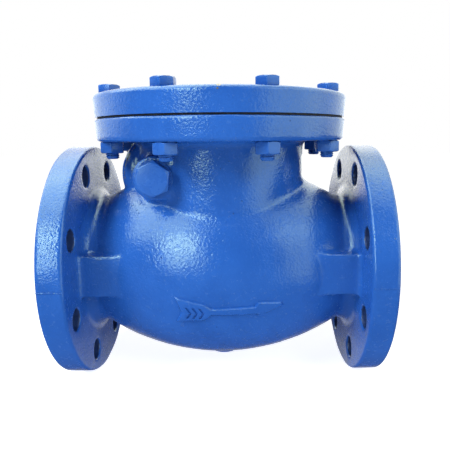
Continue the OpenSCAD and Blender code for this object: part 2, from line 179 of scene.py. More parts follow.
class Finish(Tree):
    """A material: a Principled shader, its constants, and the nodes that vary it over a surface."""

    def __init__(self, name, **constants):
        self.material = bpy.data.materials.new(name)
        self.material.use_nodes = True
        super().__init__(self.material.node_tree)
        self.shader = self.nodes.new("ShaderNodeBsdfPrincipled")
        surface = self.nodes.new("ShaderNodeOutputMaterial")
        self.links.new(self.shader.outputs["BSDF"], surface.inputs["Surface"])
        for socket, value in constants.items():
            self.shader.inputs[socket.replace("_", " ")].default_value = value
        self.place = self.node("ShaderNodeTexCoord", output="Object")

    def feed(self, socket, value):
        self.join(self.shader.inputs[socket], value)

    def noise(self, scale, detail=2.0, roughness=0.5, place=None):
        """Smooth noise from 0 to 1, with scale in waves per metre."""
        inputs = {
            "Vector": place or self.place,
            "Scale": scale,
            "Detail": detail,
            "Roughness": roughness,
        }
        return self.node("ShaderNodeTexNoise", None, inputs)

    def cells(self, scale):
        """Distance to the nearest of scattered points, with scale in points per metre."""
        inputs = {"Vector": self.place, "Scale": scale}
        return self.node("ShaderNodeTexVoronoi", None, inputs, "Distance")

    def axes(self):
        """The three Object coordinates as separate readings."""
        split = self.node("ShaderNodeSeparateXYZ", None, {0: self.place}).socket.node
        return [Reading(self, socket) for socket in split.outputs]

    def near(self, point, radius):
        """1 at a point of the valve, falling to 0 at a radius from it, all in millimetres."""
        offset = self.node(
            "ShaderNodeVectorMath",
            {"operation": "DISTANCE"},
            {0: self.place, 1: tuple(part * MM for part in point)},
            "Value",
        )
        return 1.0 - offset.step(0.0, radius * MM)

    def relief(self, height):
        """Bump from a height in millimetres."""
        self.feed("Normal", self.node("ShaderNodeBump", None, {"Distance": MM, "Height": height}))


# Finishes

ENAMEL_BLUE = (0.019, 0.100, 0.42)
ENAMEL_DEEP = (0.015, 0.082, 0.36)
ENAMEL_PALE = (0.026, 0.120, 0.455)
# Navy darkening in the small pits of the casting: painted shade in the hollows
PIT_SHADE_NAVY = (0.006, 0.018, 0.08)
CHIP_PALE = (0.34, 0.30, 0.26)
SPOT_BROWN = (0.10, 0.085, 0.075)
ENAMEL_SHEEN = (0.76, 1.0, 0.64, 1.0)
# Thin paint of the bolt holes, made dark as painted shade of their unlit walls
HOLE_SHADE_DEEP = (0.008, 0.020, 0.075)
HOLE_SHADE_PALE = (0.014, 0.034, 0.12)
FACE_DARK = (0.36, 0.355, 0.35)
FACE_LIGHT = (0.46, 0.455, 0.45)
FACE_STAIN = (0.22, 0.17, 0.13)
IRON_DARK = (0.085, 0.083, 0.083)
IRON_LIGHT = (0.19, 0.185, 0.18)
IRON_BLOOM = (0.16, 0.085, 0.045)
FIBRE_DARK = (0.006, 0.006, 0.008)
FIBRE_LIGHT = (0.02, 0.02, 0.024)
BRONZE_LIGHT = (0.56, 0.33, 0.13)
BRONZE_DARK = (0.36, 0.19, 0.07)
STEEL_LIGHT = (0.52, 0.52, 0.53)
STEEL_DARK = (0.36, 0.35, 0.34)
# A chip in the enamel on the front edge of the cover, and the rust spot under it
CHIP_PLACE = (149.3, -115.0, 156.0)
CHIP_R = 5.2
SPOT_PLACE = (148.6, -117.5, 152.4)
SPOT_R = 2.4
# Tool marks on turned metal, in waves per metre along the turning axis and across it
TOOL_RINGS = 1600.0
TOOL_DRIFT = 14.0


def cast_enamel():
    """Glossy blue enamel sprayed over a sand-cast skin."""
    f = Finish("cast_enamel", IOR=1.5, Specular_Tint=ENAMEL_SHEEN)
    grain = f.noise(880.0, 2.0, 0.6)
    sand = f.noise(460.0, 1.0, 0.5)
    lumps = f.noise(90.0, 2.0, 0.5)
    pimple = f.cells(560.0)
    dull = f.noise(260.0, 3.0, 0.7).step(0.58, 0.67)
    cloud = f.noise(22.0, 3.0, 0.6)
    pits = (1.0 - f.cells(150.0).step(0.05, 0.13)) * f.noise(45.0, 1.0).step(0.60, 0.68)
    paint = f.mix(cloud.step(0.3, 0.7), ENAMEL_DEEP, ENAMEL_BLUE)
    paint = f.mix(sand.step(0.55, 0.8) * 0.4, paint, ENAMEL_PALE)
    # The pits are dented by the bump and darkened towards navy as painted shade
    paint = f.mix(pits * 0.6, paint, PIT_SHADE_NAVY)
    ragged = f.noise(520.0, 2.0) * 0.5
    chip = (f.near(CHIP_PLACE, CHIP_R) + ragged).step(0.86, 0.93)
    spot = (f.near(SPOT_PLACE, SPOT_R) + ragged).step(0.80, 0.90)
    paint = f.mix(chip, paint, CHIP_PALE)
    paint = f.mix(spot, paint, SPOT_BROWN)
    f.feed("Base Color", paint)
    f.feed("Roughness", 0.10 + 0.07 * cloud + 0.24 * dull + 0.3 * chip.most(spot))
    raised = 0.16 * lumps + 0.25 * sand + 0.11 * grain
    f.relief(raised - 0.06 * pimple * pimple - 0.25 * pits - 0.10 * chip)
    return f.material


def drilled_paint():
    """Thin paint on the drilled wall of a bolt hole, darkened as painted shade of the hole's unlit inside."""
    f = Finish("drilled_paint", Roughness=0.45, IOR=1.4)
    f.feed("Base Color", f.mix(f.noise(300.0, 3.0), HOLE_SHADE_DEEP, HOLE_SHADE_PALE))
    f.relief(0.12 * f.noise(900.0, 2.0))
    return f.material


def steel_enamel():
    """The same enamel on smooth hexagon steel."""
    f = Finish("steel_enamel", IOR=1.5, Specular_Tint=ENAMEL_SHEEN)
    peel = f.noise(600.0, 2.0, 0.5)
    cloud = f.noise(60.0, 3.0, 0.6)
    paint = f.mix(cloud.step(0.3, 0.7), ENAMEL_DEEP, ENAMEL_BLUE)
    f.feed("Base Color", paint)
    f.feed("Roughness", 0.20 + 0.14 * cloud)
    f.relief(0.10 * peel + 0.10 * cloud)
    return f.material


def serrated_iron():
    """Machined raised face with fine turned rings."""
    f = Finish("serrated_iron", Metallic=1.0)
    x, y, z = f.axes()
    radius = (y * y + z * z) ** 0.5
    across = f.node("ShaderNodeCombineXYZ", None, {0: radius, 1: x})
    bands = f.noise(340.0, 3.0, 0.7, across)
    stain = f.noise(38.0, 4.0, 0.6)
    metal = f.mix(bands.step(0.3, 0.7), FACE_DARK, FACE_LIGHT)
    metal = f.mix(stain.step(0.52, 0.80) * 0.7, metal, FACE_STAIN)
    f.feed("Base Color", metal)
    f.feed("Roughness", 0.26 + 0.16 * bands + 0.18 * stain)
    f.relief(0.03 * bands + 0.02 * f.noise(900.0))
    return f.material


def bare_casting():
    """Unpainted sand-cast iron, dark grey with a brown bloom."""
    f = Finish("bare_casting")
    grain = f.noise(420.0, 4.0, 0.6)
    bloom = f.noise(38.0, 4.0, 0.65)
    iron = f.mix(grain.step(0.3, 0.7), IRON_DARK, IRON_LIGHT)
    iron = f.mix(bloom.step(0.5, 0.78) * 0.6, iron, IRON_BLOOM)
    f.feed("Base Color", iron)
    f.feed("Metallic", 0.55 - 0.45 * bloom.step(0.45, 0.7))
    f.feed("Roughness", 0.5 + 0.3 * grain)
    f.relief(0.28 * grain + 0.2 * f.noise(130.0, 3.0))
    return f.material


def turned_metal(name, light, dark, along, roughness):
    """Turned metal with tool rings about an axis of the valve."""
    f = Finish(name, Metallic=1.0)
    stretch = [TOOL_DRIFT] * 3
    stretch["XYZ".index(along)] = TOOL_RINGS
    inputs = {"Vector": f.place, "Scale": stretch}
    drawn = f.node("ShaderNodeMapping", {"vector_type": "POINT"}, inputs)
    marks = f.noise(1.0, 3.0, 0.6, drawn)
    stain = f.noise(65.0, 4.0, 0.6)
    f.feed("Base Color", f.mix(stain.step(0.4, 0.8), light, dark))
    f.feed("Roughness", roughness + 0.12 * marks + 0.15 * stain)
    f.relief(0.02 * marks + 0.015 * f.noise(700.0))
    return f.material


def jointing_sheet():
    """Dark compressed fibre jointing."""
    f = Finish("jointing_sheet", Roughness=0.8)
    fibre = f.noise(900.0, 4.0, 0.7)
    f.feed("Base Color", f.mix(fibre, FIBRE_DARK, FIBRE_LIGHT))
    f.relief(0.08 * fibre)
    return f.material


enamel = cast_enamel()
bolt_enamel = steel_enamel()
raised_face = serrated_iron()
inner_iron = bare_casting()
# Hole paint, darkened as painted shade of the drilled walls
hole_paint_and_shade = drilled_paint()
bronze = turned_metal("turned_bronze", BRONZE_LIGHT, BRONZE_DARK, "X", 0.24)
bush_bronze = turned_metal("bush_bronze", BRONZE_LIGHT, BRONZE_DARK, "Y", 0.24)
steel = turned_metal("turned_steel", STEEL_LIGHT, STEEL_DARK, "X", 0.26)
pin_steel = turned_metal("pin_steel", STEEL_LIGHT, STEEL_DARK, "Y", 0.22)
gasket = jointing_sheet()


# Pieces

def merged_copy(node):
    """A bmesh of a CAD node with its loose triangles joined."""
    bm = bmesh.new()
    bm.from_mesh(frame["nodes"][node].data)
    bmesh.ops.remove_doubles(bm, verts=bm.verts, dist=MERGE_GAP)
    return bm


def add_piece(name, mesh, materials, body, replaced=()):
    """Makes an object of a mesh at the origin and sets it on its CAD body."""
    piece = bpy.data.objects.new(name, mesh)
    bpy.context.scene.collection.objects.link(piece)
    for material in materials:
        mesh.materials.append(material)
    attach(piece, body)
    if replaced:
        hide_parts(*replaced)


def finished_mesh(name, bm, crease):
    """A smooth-shaded mesh of a bmesh, creased where its faces meet at more than an angle in degrees."""
    mesh = bpy.data.meshes.new(name)
    for face in bm.faces:
        face.smooth = True
    bm.to_mesh(mesh)
    bm.free()
    mesh.set_sharp_from_angle(angle=math.radians(crease))
    return mesh


def spun_ring(bm, x, y, outline, steps):
    """A solid turned about an upright axis, from an outline of (radius, height).

    An outline that starts off the axis is closed, so that it gives a ring.
    """
    verts = [bm.verts.new(((x + radius) * MM, y * MM, z * MM)) for radius, z in outline]
    ends = verts[:1] if outline[0][0] > 0.0 else []
    edges = [bm.edges.new(pair) for pair in zip(verts, verts[1:] + ends)]
    bmesh.ops.spin(
        bm,
        geom=verts + edges,
        cent=(x * MM, y * MM, 0.0),
        axis=(0.0, 0.0, 1.0),
        angle=2.0 * math.pi,
        steps=steps,
        use_merge=True,
    )
    bmesh.ops.remove_doubles(bm, verts=bm.verts, dist=MERGE_GAP)


def belly_radius(x):
    """Outer radius of the belly at distances along the line, in millimetres."""
    return BELLY_R - BELLY_ARC + np.sqrt(BELLY_ARC**2 - (x - BONNET_X) ** 2)


# Body casting

CREASE_FILLET = 2.5
NECK_FILLET = 7.0
# Where the wider fillet of the neck sets in, along the line and upwards
NECK_FILLET_X = (96.0, 112.0)
NECK_FILLET_Z = (34.0, 44.0)
# Where the fillets end, under the bonnet flange
FILLET_END_Z = (100.0, 106.0)
# The slight swell of the casting, and the distances from the line axis between which it sets in
SWELL = 0.16
SWELL_R = (BORE_R + 3.0, BORE_R + 7.0)
# Margins within which a face of the skin still counts as lying on a machined face, a rim or the bore
FACE_MARGIN = 0.5
RIM_MARGIN = 1.0
BORE_MARGIN = 2.0
# Places of two finishes in the body's list, which starts with the enamel; the hole finish holds painted shade
BARE_INSIDE = 1
SHADED_HOLE = 2
# The bare inside lies this far in from the outer form, and this far in from the ends of the line
CORE_WALL = 4.0
HUB_INSIDE = 28.0
# Voxels that the skin is made from, the spare ones round it, and the triangles it is thinned to
SKIN_VOXEL = 1.25
GRID_MARGIN = 4
SKIN_TRIANGLES = 190000


class LevelSet:
    """Signed distance of a closed mesh on a grid of voxels, as openvdb holds it."""

    def __init__(self, points, faces, voxel, reach):
        self.voxel = voxel
        self.transform = openvdb.createLinearTransform(voxelSize=voxel)
        kind = "quads" if faces.shape[1] == 4 else "triangles"
        half_width = reach / voxel + 2.0
        self.grid = openvdb.FloatGrid.createLevelSetFromPolygons(
            points, transform=self.transform, halfWidth=half_width, **{kind: faces}
        )

    def closed(self, radius):
        """The mesh grown by a radius. Shrinking that by the radius rolls a fillet in each crease."""
        points, _, quads = self.grid.convertToPolygons(isovalue=radius, adaptivity=0.0)
        return LevelSet(points, quads.astype(np.int32), self.voxel, radius)

    def values(self, corner, shape):
        """The distances in a box of voxels, as an array."""
        found = np.zeros(shape, np.float32)
        self.grid.copyToArray(found, ijk=corner)
        return found


def softened(values, passes):
    """Distances averaged with their neighbours, which rounds the edges."""
    for axis in (0, 1, 2) * passes:
        ahead = np.roll(values, -1, axis)
        behind = np.roll(values, 1, axis)
        values = 0.5 * values + 0.25 * (ahead + behind)
    return values


def cast_waves(x, y, z):
    """Slow swell of a hand-moulded casting, in metres, from a few fixed waves."""
    swell = np.sin(131.0 * x + 47.0 * z + 0.4) * np.sin(118.0 * y + 61.0 * x + 1.9)
    ripple = np.sin(243.0 * z - 89.0 * y + 2.2) * np.sin(211.0 * x + 97.0 * y + 0.7)
    return SWELL * MM * (0.7 * swell + 0.3 * ripple)


def ramp(values, start, end):
    """0 below start and 1 above end, with a soft change between them."""
    share = np.clip((values - start) / (end - start), 0.0, 1.0)
    return share * share * (3.0 - 2.0 * share)


def cast_skin():
    """The CAD casting less its raised faces, with rolled fillets, soft edges and a slight swell."""
    voxel = SKIN_VOXEL * MM
    bm = merged_copy("body_casting")
    points = np.array([v.co for v in bm.verts])
    faces = np.array([[v.index for v in f.verts] for f in bm.faces], np.int32)
    bm.free()
    plain = LevelSet(points, faces, voxel, NECK_FILLET * MM)
    low = np.floor(points.min(0) / voxel).astype(int) - GRID_MARGIN
    shape = np.ceil(points.max(0) / voxel).astype(int) + GRID_MARGIN + 1 - low
    corner = tuple(int(i) for i in low)
    x, y, z = np.ix_(*[(low[i] + np.arange(shape[i])) * voxel / MM for i in range(3)])
    sharp = plain.values(corner, shape)
    creased = plain.closed(CREASE_FILLET * MM).values(corner, shape) + CREASE_FILLET * MM
    rolled = plain.closed(NECK_FILLET * MM).values(corner, shape) + NECK_FILLET * MM
    at_neck = ramp(x, *NECK_FILLET_X) * ramp(z, *NECK_FILLET_Z)
    distance = creased + (rolled - creased) * at_neck
    distance = np.minimum(distance, sharp)
    distance = distance + (sharp - distance) * ramp(z, *FILLET_END_Z)
    distance = softened(distance, 1)
    from_end = BONNET_X - np.abs(x - BONNET_X)
    as_cast = ramp(np.hypot(y, z), *SWELL_R) * (from_end > RAISED_FACE + FACE_MARGIN)
    distance = distance + cast_waves(x * MM, y * MM, z * MM) * as_cast
    distance = np.maximum(distance, (RAISED_FACE - from_end) * MM)
    grid = openvdb.FloatGrid(float(plain.grid.background))
    grid.transform = plain.transform
    grid.copyFromArray(distance.astype(np.float32), ijk=corner)
    points, _, quads = grid.convertToPolygons(isovalue=0.0, adaptivity=0.0)
    mesh = bpy.data.meshes.new("body_skin")
    mesh.from_pydata(points.tolist(), [], quads.tolist())
    skin = thinned(mesh, SKIN_TRIANGLES)
    keep_inside(skin, *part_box("body_casting"))
    return skin


def thinned(mesh, triangles):
    """The mesh collapsed to a number of triangles, with its fine curves kept."""
    holder = bpy.data.objects.new("thinning", mesh)
    bpy.context.scene.collection.objects.link(holder)
    decimate = holder.modifiers.new("thin", "DECIMATE")
    decimate.ratio = min(1.0, triangles / (2.0 * len(mesh.polygons)))
    view = bpy.context.evaluated_depsgraph_get()
    thin = bpy.data.meshes.new_from_object(holder.evaluated_get(view))
    bpy.data.objects.remove(holder)
    bpy.data.meshes.remove(mesh)
    return thin


def keep_inside(mesh, low, high):
    """Brings points that stand a hair outside a box back to its sides."""
    places = np.zeros(len(mesh.vertices) * 3, np.float32)
    mesh.vertices.foreach_get("co", places)
    inside = np.clip(places.reshape(-1, 3), low, high)
    mesh.vertices.foreach_set("co", inside.ravel())
    mesh.update()


def sort_body_faces(mesh):
    """Gives each face of the body its finish: enamel, the bare inside, or on a drilled hole the dark paint that
    holds painted shade.
    """
    count = len(mesh.polygons)
    centre = np.zeros(count * 3, np.float32)
    mesh.polygons.foreach_get("center", centre)
    x, y, z = centre.reshape(-1, 3).T / MM
    radius = np.hypot(y, z)
    finish = np.zeros(count, np.int32)
    from_end = BONNET_X - np.abs(x - BONNET_X)
    in_line = (radius < belly_radius(x) - CORE_WALL) & (from_end > HUB_INSIDE)
    in_neck = np.hypot(x - BONNET_X, y) < NECK_R - CORE_WALL
    in_neck = in_neck & (z > 0) & (z < BONNET_FACE - FACE_MARGIN)
    in_hinge = np.hypot(x - HINGE_X, z - HINGE_Z) < HOUSING_R - CORE_WALL
    in_hinge = in_hinge & (np.abs(y) < HOUSING_HALF - CORE_WALL)
    in_bore = radius < BORE_R + BORE_MARGIN
    finish[in_line | in_neck | in_hinge | in_bore] = BARE_INSIDE
    hole_angle = (np.arange(FLANGE_HOLES) + 0.5) * 2.0 * math.pi / FLANGE_HOLES
    hole_y = np.cos(hole_angle) * HOLE_CIRCLE_R
    hole_z = np.sin(hole_angle) * HOLE_CIRCLE_R
    from_hole = np.hypot(y[:, None] - hole_y, z[:, None] - hole_z).min(1)
    deep = (from_end > RAISED_FACE + RIM_MARGIN) & (from_end < FLANGE_BACK - RIM_MARGIN)
    # Drilled hole walls get the dark paint that stands for their shade (painted shade)
    finish[(from_hole < HOLE_R + FACE_MARGIN) & deep] = SHADED_HOLE
    mesh.polygons.foreach_set("material_index", finish)
    mesh.polygons.foreach_set("use_smooth", np.ones(count, bool))
    mesh.update()


body_mesh = cast_skin()
add_piece(
    "body_skin", body_mesh, [enamel, inner_iron, hole_paint_and_shade],
    "valve_body", ["body_casting"],
)
sort_body_faces(body_mesh)


# Machined raised faces

GROOVE_PITCH = 1.2
GROOVE_DEPTH = 0.12
FACE_CHAMFER = 0.4
FACE_ROOT = 0.4
FACE_STEPS = 128
FACE_CREASE = 9.0


def raised_face_ring(end):
    """One raised face as a ring, grooved by the lathe tool, with its root sunk in the flange."""
    inner = BORE_R + FACE_CHAMFER
    outer = RAISED_R - FACE_CHAMFER
    count = int((outer - inner) / GROOVE_PITCH)
    pitch = (outer - inner) / count
    root = RAISED_FACE + FACE_ROOT
    outline = [(BORE_R + FACE_ROOT, root), (BORE_R, RAISED_FACE)]
    outline += [(BORE_R, FACE_CHAMFER), (inner, 0.0)]
    for groove in range(count):
        outline.append((inner + (groove + 0.5) * pitch, GROOVE_DEPTH))
        outline.append((inner + (groove + 1.0) * pitch, 0.0))
    outline += [(RAISED_R, FACE_CHAMFER), (RAISED_R, root)]
    bm = bmesh.new()
    spun_ring(bm, 0.0, 0.0, outline, FACE_STEPS)
    along_line = Matrix.Rotation(math.pi / 2.0, 3, "Y")
    bmesh.ops.rotate(bm, verts=bm.verts, cent=ORIGIN, matrix=along_line)
    if end == "outlet":
        end_for_end = Matrix.Rotation(math.pi, 3, "Z")
        bmesh.ops.rotate(bm, verts=bm.verts, cent=ORIGIN, matrix=end_for_end)
        bmesh.ops.translate(bm, verts=bm.verts, vec=(LENGTH * MM, 0.0, 0.0))
    bmesh.ops.recalc_face_normals(bm, faces=bm.faces)
    return finished_mesh("raised_face_" + end, bm, FACE_CREASE)


for end in ("inlet", "outlet"):
    add_piece(
        "raised_face_" + end, raised_face_ring(end), [raised_face],
        "valve_body",
    )


# Hexagon pieces

BOLT_EASE = 0.4
PLUG_EASE = 0.8
EASE_STEPS = 2
# Angles in degrees: below the first faces are one flat, above the second an edge is eased
FLAT_ANGLE = 0.5
EDGE_ANGLE = 18.0
HEX_CREASE = 40.0
# How far the shank and its threaded tail reach up into the nut
SHANK_SINK = 0.5
TAIL_SINK = 0.6
TAIL_CHAMFER = 0.9
TAIL_STEPS = 32
TAIL_CREASE = 50.0
# The ridge of the thread: its start above the bolt's end, the depth of its root in the core,
# and the corners of its section as shares of the pitch
RIDGE_START = 0.5
RIDGE_ROOT = 0.2
RIDGE_SHARES = (0.03, 0.42, 0.58, 0.97)


def eased_copy(node, name, width, cut_below=None):
    """A copy of a CAD node with its sharp edges eased, and if asked with nothing below a height."""
    bm = merged_copy(node)
    if cut_below is not None:
        every = bm.verts[:] + bm.edges[:] + bm.faces[:]
        bmesh.ops.bisect_plane(
            bm,
            geom=every,
            plane_co=(0.0, 0.0, cut_below * MM),
            plane_no=(0.0, 0.0, 1.0),
            clear_inner=True,
        )
        bmesh.ops.holes_fill(bm, edges=[e for e in bm.edges if e.is_boundary])
    flat = math.radians(FLAT_ANGLE)
    bmesh.ops.dissolve_limit(bm, angle_limit=flat, verts=bm.verts, edges=bm.edges)
    turn = math.radians(EDGE_ANGLE)
    edges = [e for e in bm.edges if len(e.link_faces) == 2 and e.calc_face_angle() > turn]
    bmesh.ops.bevel(
        bm,
        geom=edges,
        offset=width * MM,
        offset_type="OFFSET",
        affect="EDGES",
        segments=EASE_STEPS,
        profile=0.5,
        material=-1,
        clamp_overlap=True,
    )
    bmesh.ops.triangulate(bm, faces=[f for f in bm.faces if len(f.verts) > 4])
    return finished_mesh(name, bm, HEX_CREASE)


def bolt_place(index):
    """Centre of one cover bolt, seen from above."""
    angle = math.radians((index + 0.5) * 360.0 / BOLT_COUNT)
    return BONNET_X + BOLT_CIRCLE_R * math.cos(angle), BOLT_CIRCLE_R * math.sin(angle)


def thread_tails():
    """The threaded ends that stand below the cover nuts."""
    bm = bmesh.new()
    core = BOLT_R - THREAD_DEPTH
    top = NUT_FOOT + TAIL_SINK
    foot = BOLT_FOOT
    turns = int((top - foot) / THREAD_PITCH) - 1
    outline = [(0.0, top), (core, top), (core, foot + TAIL_CHAMFER)]
    outline += [(core - TAIL_CHAMFER, foot), (0.0, foot)]
    root = core - RIDGE_ROOT
    heights = [foot + RIDGE_START + share * THREAD_PITCH for share in RIDGE_SHARES]
    ridge = list(zip((root, BOLT_R, BOLT_R, root), heights))
    for index in range(BOLT_COUNT):
        x, y = bolt_place(index)
        spun_ring(bm, x, y, outline, TAIL_STEPS)
        verts = [bm.verts.new(((x + radius) * MM, y * MM, z * MM)) for radius, z in ridge]
        edges = [bm.edges.new(pair) for pair in zip(verts, verts[1:] + verts[:1])]
        bmesh.ops.spin(
            bm,
            geom=verts + edges,
            cent=(x * MM, y * MM, 0.0),
            axis=(0.0, 0.0, 1.0),
            dvec=(0.0, 0.0, THREAD_PITCH * MM / TAIL_STEPS),
            angle=turns * 2.0 * math.pi,
            steps=turns * TAIL_STEPS,
            use_merge=False,
        )
    bmesh.ops.holes_fill(bm, edges=[e for e in bm.edges if e.is_boundary])
    bmesh.ops.recalc_face_normals(bm, faces=bm.faces)
    return finished_mesh("bolt_thread_tails", bm, TAIL_CREASE)


shanks = eased_copy("cover_bolts", "cover_bolt_set", BOLT_EASE, NUT_FOOT + SHANK_SINK)
add_piece(
    "cover_bolt_set", shanks, [bolt_enamel],
    "valve_body", ["cover_bolts"],
)
add_piece(
    "cover_nut_set", eased_copy("cover_nuts", "cover_nut_set", BOLT_EASE), [bolt_enamel],
    "valve_body", ["cover_nuts"],
)
add_piece("bolt_thread_tails", thread_tails(), [bolt_enamel], "valve_body")
for side in ("front", "rear"):
    plug = "hinge_plug_" + side
    add_piece(
        plug + "_eased", eased_copy(plug, plug + "_eased", PLUG_EASE), [bolt_enamel],
        "valve_body", [plug],
    )


# Cast flow arrow on the front of the belly

ARROW_RISE = 2.0
ARROW_SINK = 1.2
ARROW_DRAFT = 1.4
# Outline of the arrow as (along the line, height), from the top of the tail round to its notch
ARROW_OUTLINE = [
    (108.0, -12.8), (133.2, -18.8), (139.5, -23.0), (175.5, -21.8), (178.0, -17.6),
    (198.4, -19.2), (200.4, -22.8), (179.0, -32.4), (176.6, -29.8), (139.0, -29.9),
    (133.6, -35.0), (108.2, -37.2), (113.0, -26.6),
]
CHEVRONS = 3
CHEVRON_STEP = 5.4
CHEVRON_CUT = 1.1
CHEVRON_CLEAR = 1.0
# One side of the first chevron groove: upper end, point and lower end
CHEVRON_ENDS = [(117.0, -22.4), (120.6, -27.4), (117.2, -32.6)]
CHEVRON_WIDTH = 1.9
# Planes that divide the flat arrow so that it can bend round the belly: axis, first and last place
ARROW_CUTS = ((0, 112.0, 202.0), (2, -36.0, -12.0))
ARROW_CUT_STEP = 4.0
ARROW_EASE = 0.35
# Edges are eased where they turn by more than this many degrees and lie above this height
ARROW_EDGE_ANGLE = 25.0
ARROW_EDGE_RISE = 0.1
# Gaps that are merged and slivers that are dissolved after the cuts
ARROW_GAP = 0.02
ARROW_SLIVER = 0.01
ARROW_CREASE = 40.0


def prism(bm, corners, low, high):
    """A block over an outline of (along, height), between two distances out from the skin."""
    face = bm.faces.new([bm.verts.new((x, high, z)) for x, z in corners])
    base = bm.faces.new([bm.verts.new((x, low, z)) for x, z in reversed(corners)])
    bmesh.ops.bridge_loops(bm, edges=list(face.edges) + list(base.edges))
    bmesh.ops.recalc_face_normals(bm, faces=bm.faces)
    return face


def flat_object(name, bm):
    """A throwaway object of a bmesh."""
    mesh = bpy.data.meshes.new(name)
    bm.to_mesh(mesh)
    bm.free()
    made = bpy.data.objects.new(name, mesh)
    bpy.context.scene.collection.objects.link(made)
    return made


def flat_arrow():
    """The arrow laid flat, in millimetres, with the way out from the skin along Y."""
    bm = bmesh.new()
    top = prism(bm, ARROW_OUTLINE, -ARROW_SINK, 0.0)
    bmesh.ops.inset_region(bm, faces=[top], thickness=ARROW_DRAFT, use_even_offset=True)
    for vert in top.verts:
        vert.co.y = ARROW_RISE
    arrow = flat_object("flat_arrow", bm)
    bm = bmesh.new()
    for index in range(CHEVRONS):
        near = [(x + index * CHEVRON_STEP, z) for x, z in CHEVRON_ENDS]
        far = [(x + CHEVRON_WIDTH, z) for x, z in reversed(near)]
        prism(bm, near + far, ARROW_RISE - CHEVRON_CUT, ARROW_RISE + CHEVRON_CLEAR)
    grooves = flat_object("flat_grooves", bm)
    cutter = arrow.modifiers.new("cut", "BOOLEAN")
    cutter.operation = "DIFFERENCE"
    cutter.object = grooves
    view = bpy.context.evaluated_depsgraph_get()
    cut = bpy.data.meshes.new_from_object(arrow.evaluated_get(view))
    for spent in (arrow, grooves):
        bpy.data.meshes.remove(spent.data)
    return cut


def on_belly(x, out, z):
    """Point on the front of the belly, a distance out from its skin, in metres."""
    radius = belly_radius(x) + out
    return Vector((x, -math.sqrt(radius**2 - z**2), z)) * MM


def flow_arrow():
    """The cast arrow, wrapped on the belly with its edges rounded."""
    bm = bmesh.new()
    flat = flat_arrow()
    bm.from_mesh(flat)
    bpy.data.meshes.remove(flat)
    turn = math.radians(ARROW_EDGE_ANGLE)
    edges = [e for e in bm.edges if e.is_manifold and e.calc_face_angle() > turn]
    bmesh.ops.bevel(
        bm,
        geom=[e for e in edges if e.verts[0].co.y > ARROW_EDGE_RISE],
        offset=ARROW_EASE,
        offset_type="OFFSET",
        affect="EDGES",
        segments=EASE_STEPS,
        profile=0.5,
        material=-1,
        clamp_overlap=True,
    )
    for axis, start, end in ARROW_CUTS:
        normal = Vector(ORIGIN)
        normal[axis] = 1.0
        for place in np.arange(start, end, ARROW_CUT_STEP):
            every = bm.verts[:] + bm.edges[:] + bm.faces[:]
            point = normal * float(place)
            bmesh.ops.bisect_plane(bm, geom=every, plane_co=point, plane_no=normal)
    bmesh.ops.remove_doubles(bm, verts=bm.verts, dist=ARROW_GAP)
    bmesh.ops.dissolve_degenerate(bm, dist=ARROW_SLIVER, edges=bm.edges)
    for vert in bm.verts:
        vert.co = on_belly(*vert.co)
    bmesh.ops.triangulate(bm, faces=[f for f in bm.faces if len(f.verts) > 4])
    bmesh.ops.recalc_face_normals(bm, faces=bm.faces)
    return finished_mesh("flow_arrow", bm, ARROW_CREASE)


add_piece("flow_arrow", flow_arrow(), [enamel], "valve_body")


# Parting seams, where the halves of the mould met on the flange rims

SEAM_STEPS = 40
SEAM_HALF = 0.55
SEAM_CREST = 0.3 * SEAM_HALF
SEAM_SINK = 0.4
# Distance of a seam's ends from the edges of the rim, and its height at the inlet and the outlet
SEAM_INSET = 0.8
SEAM_Z = (-2.0, -1.0)
SEAM_PHASE = 1.3
SEAM_CREASE = 60.0


def seam_height(share, phase):
    """Uneven height of a seam along its length, in millimetres."""
    slow = 0.22 * math.sin(23.0 * share + phase)
    fast = 0.14 * math.sin(61.0 * share + 2.0 * phase)
    return 0.30 + slow + fast


def rim_seams():
    """A thin broken ridge across each flange rim, at the front and the rear."""
    bm = bmesh.new()
    places = [(end, side) for end in (0, 1) for side in (-1, 1)]
    for index, (end, side) in enumerate(places):
        rows = []
        for step in range(SEAM_STEPS + 1):
            share = step / SEAM_STEPS
            x = RAISED_FACE + SEAM_INSET
            x = x + share * (FLANGE_BACK - RAISED_FACE - 2.0 * SEAM_INSET)
            x = LENGTH - x if end else x
            out = seam_height(share, SEAM_PHASE * index)
            section = [(-SEAM_HALF, -SEAM_SINK), (-SEAM_CREST, out)]
            section += [(SEAM_CREST, out), (SEAM_HALF, -SEAM_SINK)]
            row = [(x, side * (FLANGE_R + rise), SEAM_Z[end] + z) for z, rise in section]
            rows.append([bm.verts.new(Vector(p) * MM) for p in row])
        for first, second in zip(rows, rows[1:]):
            for a in range(4):
                b = (a + 1) % 4
                bm.faces.new((first[a], first[b], second[b], second[a]))
        bm.faces.new(rows[0])
        bm.faces.new(rows[-1])
    bmesh.ops.recalc_face_normals(bm, faces=bm.faces)
    return finished_mesh("rim_seams", bm, SEAM_CREASE)


add_piece("rim_seams", rim_seams(), [enamel], "valve_body")


# CAD nodes that keep their shape

def paint_node(node, material):
    """Gives a CAD node its finish."""
    mesh = frame["nodes"][node].data
    mesh.materials.clear()
    mesh.materials.append(material)


for node, material in (
    ("cover", enamel),
    ("cover_gasket", gasket),
    ("seat_ring", bronze),
    ("disc_facing", bronze),
    ("hinge_bush_front", bush_bronze),
    ("hinge_bush_rear", bush_bronze),
    ("plug_ring_front", bolt_enamel),
    ("plug_ring_rear", bolt_enamel),
    ("hinge_pin", pin_steel),
    ("disc_washer", steel),
    ("disc_nut", steel),
    ("disc_split_pin", steel),
    ("hinge_arm", inner_iron),
    ("disc", inner_iron),
):
    paint_node(node, material)


# Studio

# Light that falls on the valve from the sky, by direction: its level, then the rise from none to full
SKY_FILL = 0.22
BASE_FILL = 0.06
FRONT_FILL = 0.85
FRONT_SPREAD = (0.15, 0.95)
REAR_FILL = 3.6
REAR_SPREAD = (0.3, 0.95)
TOP_FILL = 0.5
TOP_SPREAD = (0.0, 1.0)
